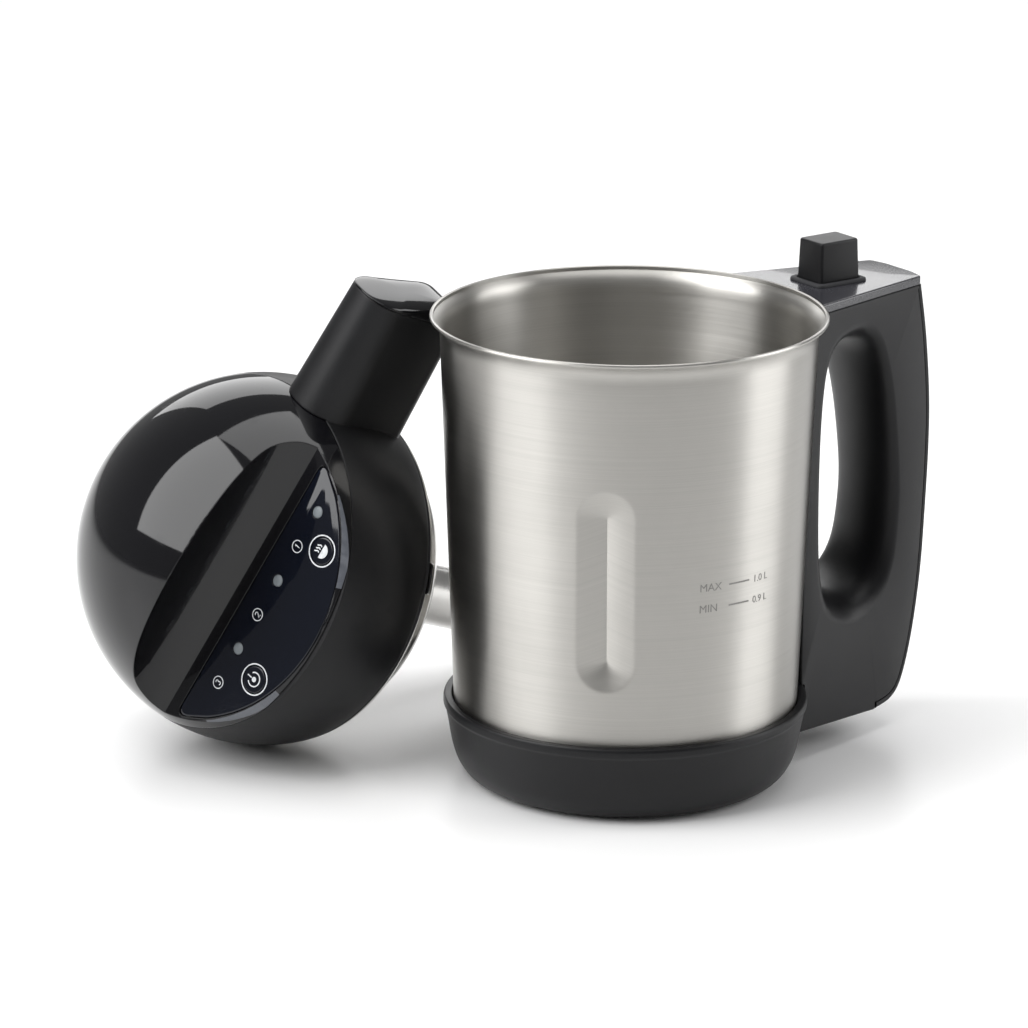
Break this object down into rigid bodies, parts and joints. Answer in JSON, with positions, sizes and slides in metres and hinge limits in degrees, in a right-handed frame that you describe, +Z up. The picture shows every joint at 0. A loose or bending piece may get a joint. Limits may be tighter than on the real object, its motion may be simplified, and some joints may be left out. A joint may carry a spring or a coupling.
{
  "type": "soup maker",
  "caption": "Steel heated jug with a D-shaped handle and connector, and its ball-shaped motor head with arm, control panel and blade shaft lying beside it.",
  "frame": {"origin": "on the jug's axis, at the underside of its anti-slip pad, where it stands", "axes": "+Z up along the jug's axis; +X towards the handle; the motor head lies behind and to the left, at -X +Y"},
  "size_m": [0.3014, 0.2588, 0.1966],
  "materials": {
    "brushed_steel": "fine horizontal brushing, satin",
    "polished_steel": "bright satin",
    "satin_black": "satin moulded plastic",
    "gloss_black": "polished moulded plastic",
    "panel_gloss": "polished lens",
    "polished_grey": "semi-gloss",
    "rubber": "matt",
    "zinc": "zinc plated",
    "aluminium": "as cast",
    "copper": "enamelled copper",
    "brass": "bright",
    "lamination": "varnished steel sheet",
    "circuit_board": "solder resist",
    "nylon": "natural nylon",
    "cable": "sheathed cable",
    "light_guide": "clear moulded plastic"
  },
  "bodies": {
    "jug": {"anti_slip_pad": "rubber", "base_housing": "satin_black", "base_screw_1": "zinc", "base_screw_2": "zinc", "base_screw_3": "zinc", "bottom_cover": "satin_black", "connector_block": "satin_black", "connector_collar": "rubber", "contact_strip_1": "brass", "contact_strip_2": "brass", "contact_strip_3": "brass", "handle_body": "satin_black", "handle_cover": "satin_black", "handle_top_cap": "polished_grey", "handle_wiring": "cable", "heat_plate": "aluminium", "heating_element": "zinc", "inlet_pin_1": "brass", "inlet_pin_2": "brass", "inlet_pin_3": "brass", "power_inlet": "gloss_black", "thermostat": "aluminium", "vessel": "brushed_steel"},
    "head": {"arm_end_cap": "gloss_black", "arm_socket": "satin_black", "blade_guard": "polished_steel", "control_board": "circuit_board", "head_screw_1": "zinc", "head_screw_2": "zinc", "head_screw_3": "zinc", "level_probe": "polished_steel", "light_guide": "light_guide", "lower_bearing": "zinc", "lower_bracket": "aluminium", "lower_shell": "satin_black", "motor_stator": "lamination", "panel_lens": "panel_gloss", "seat_gasket": "rubber", "shaft_seal": "rubber", "shaft_tube": "polished_steel", "top_cover": "gloss_black", "under_cup": "polished_steel", "upper_bearing": "zinc", "upper_bracket": "aluminium"},
    "rotor": {"motor_shaft": "zinc", "motor_armature": "copper", "commutator": "copper", "cooling_fan": "satin_black", "blade": "polished_steel", "blade_nut": "zinc"},
    "mode_key": {"mode_key": "panel_gloss"},
    "start_key": {"start_key": "panel_gloss"},
    "interlock": {"interlock_plunger": "nylon"}
  },
  "joints": [
    {"name": "head_lift", "type": "slide", "parent": "jug", "child": "head", "axis": [-0.3808, 0.4636, 0.8], "range_m": [0, 0.2]},
    {"name": "rotor_spin", "type": "hinge", "parent": "head", "child": "rotor", "pos_m": [-0.09169, 0.11162, 0.07255], "axis": [-0.9272, -0.1257, 0.3529], "continuous": true},
    {"name": "mode_key_press", "type": "slide", "parent": "head", "child": "mode_key", "axis": [0.9125, 0.2905, -0.2879], "range_m": [0, 0.0008], "stiffness_N_per_m": 500, "springref_m": -0.0006},
    {"name": "start_key_press", "type": "slide", "parent": "head", "child": "start_key", "axis": [0.9125, 0.2905, -0.2879], "range_m": [0, 0.0008], "stiffness_N_per_m": 500, "springref_m": -0.0006},
    {"name": "interlock_press", "type": "slide", "parent": "head", "child": "interlock", "axis": [-0.9272, -0.1257, 0.3529], "range_m": [0, 0.003], "stiffness_N_per_m": 300, "springref_m": -0.002}
  ]
}
